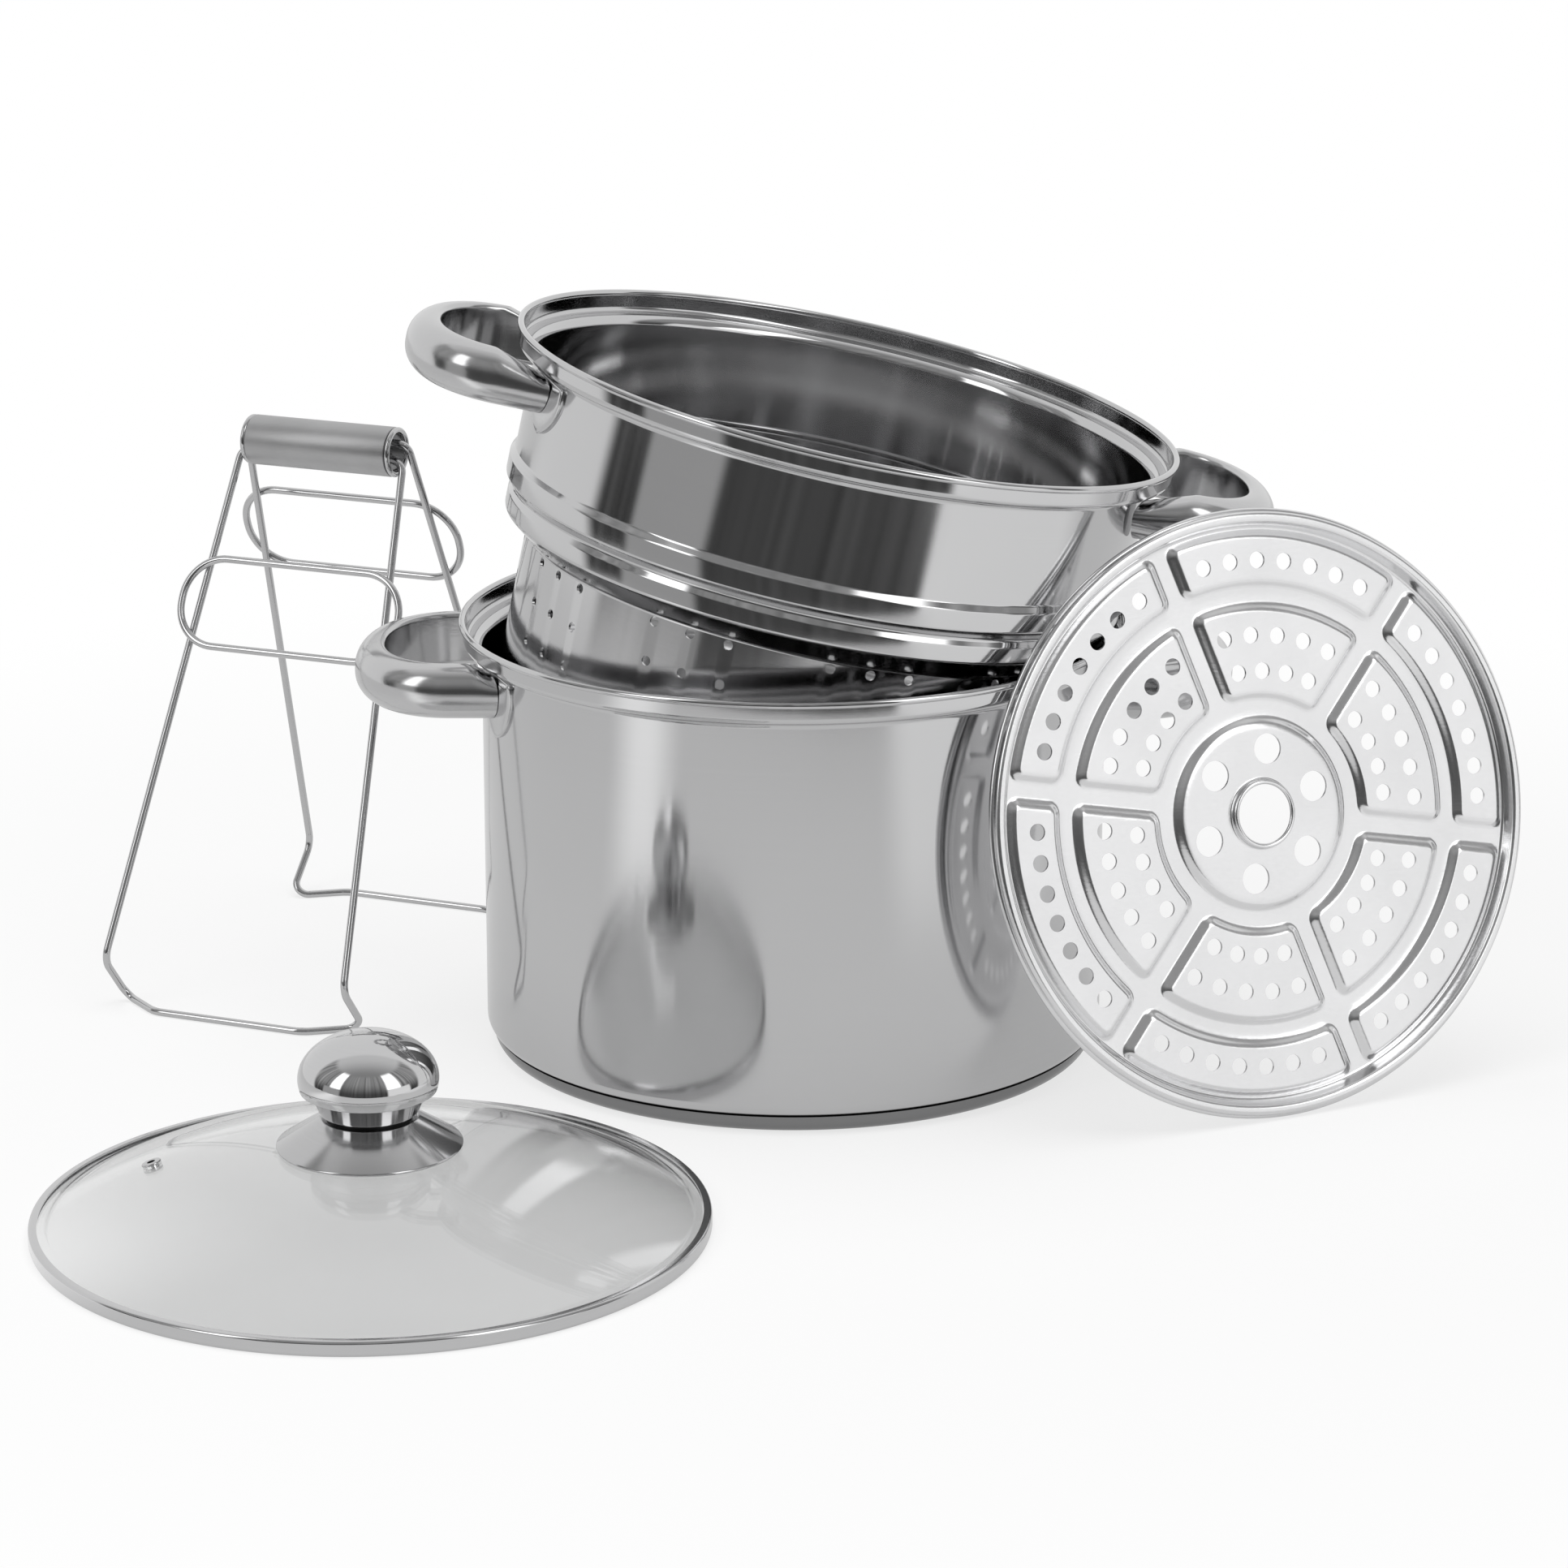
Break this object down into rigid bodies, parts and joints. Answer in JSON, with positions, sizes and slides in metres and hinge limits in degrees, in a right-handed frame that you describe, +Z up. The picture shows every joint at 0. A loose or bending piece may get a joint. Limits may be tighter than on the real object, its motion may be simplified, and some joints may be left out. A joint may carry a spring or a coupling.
{
  "type": "pasta pot with strainer insert",
  "caption": "Polished steel pasta pot with a perforated strainer insert set askew in it, glass lid, perforated steamer plate and wire tongs.",
  "frame": {"origin": "centre of the underside of the pot's base, on the surface that the set stands on", "axes": "+Z up along the pot's axis; +X to the right of the picture, along the line of the pot's two handles; -Y towards the camera"},
  "size_m": [0.5538, 0.5222, 0.2871],
  "materials": {
    "pot_steel": "mirror polished stainless steel",
    "core_aluminium": "cast aluminium, closed in",
    "cap_steel": "polished stainless steel",
    "handle_steel": "mirror polished stainless steel",
    "bracket_steel": "mirror polished stainless steel",
    "insert_steel": "mirror polished stainless steel",
    "lid_glass": "clear tempered glass",
    "band_steel": "polished stainless steel",
    "knob_steel": "mirror polished stainless steel",
    "fitting_steel": "plain stainless steel",
    "plate_steel": "bright pressed stainless steel",
    "tube_steel": "satin stainless steel",
    "wire_steel": "polished stainless steel wire"
  },
  "bodies": {
    "pot": {"pot_body": "pot_steel", "pot_base_core": "core_aluminium", "pot_base_cap": "cap_steel", "pot_handle_left": "handle_steel", "pot_handle_right": "handle_steel", "pot_brackets_left": "bracket_steel", "pot_brackets_right": "bracket_steel"},
    "insert": {"insert_body": "insert_steel", "insert_handle_left": "handle_steel", "insert_handle_right": "handle_steel", "insert_brackets_left": "bracket_steel", "insert_brackets_right": "bracket_steel"},
    "lid": {"lid_glass": "lid_glass", "lid_rim_band": "band_steel", "lid_knob": "knob_steel", "lid_escutcheon": "knob_steel", "lid_screw": "fitting_steel", "lid_washer": "fitting_steel", "lid_vent_eyelet": "fitting_steel"},
    "plate": {"steamer_plate": "plate_steel"},
    "tongs_handle": {"tongs_tube": "tube_steel", "tongs_cap_left": "tube_steel", "tongs_cap_right": "tube_steel"},
    "tongs_front": {"tongs_frame_front": "wire_steel", "tongs_ring_front": "wire_steel"},
    "tongs_back": {"tongs_frame_back": "wire_steel", "tongs_ring_back": "wire_steel"}
  },
  "joints": [
    {"name": "insert_lift", "type": "slide", "parent": "pot", "child": "insert", "axis": [0, 0, 1], "range_m": [0, 0.19]},
    {"name": "lid_lift", "type": "slide", "parent": "pot", "child": "lid", "axis": [0, 0, 1], "range_m": [0, 0.3]},
    {"name": "plate_lift", "type": "slide", "parent": "pot", "child": "plate", "axis": [0.31, -0.6356, 0.7071], "range_m": [0, 0.3]},
    {"name": "tongs_lift", "type": "slide", "parent": "pot", "child": "tongs_handle", "axis": [-0.7071, 0, 0.7071], "range_m": [0, 0.3]},
    {"name": "front_frame_swing", "type": "hinge", "parent": "tongs_handle", "child": "tongs_front", "pos_m": [-0.18875, 0.09313, 0.21141], "axis": [0.9272, -0.3746, 0], "range_deg": [0, 19.5]},
    {"name": "back_frame_swing", "type": "hinge", "parent": "tongs_handle", "child": "tongs_back", "pos_m": [-0.18725, 0.09687, 0.21785], "axis": [-0.9272, 0.3746, 0], "range_deg": [0, 14]}
  ]
}
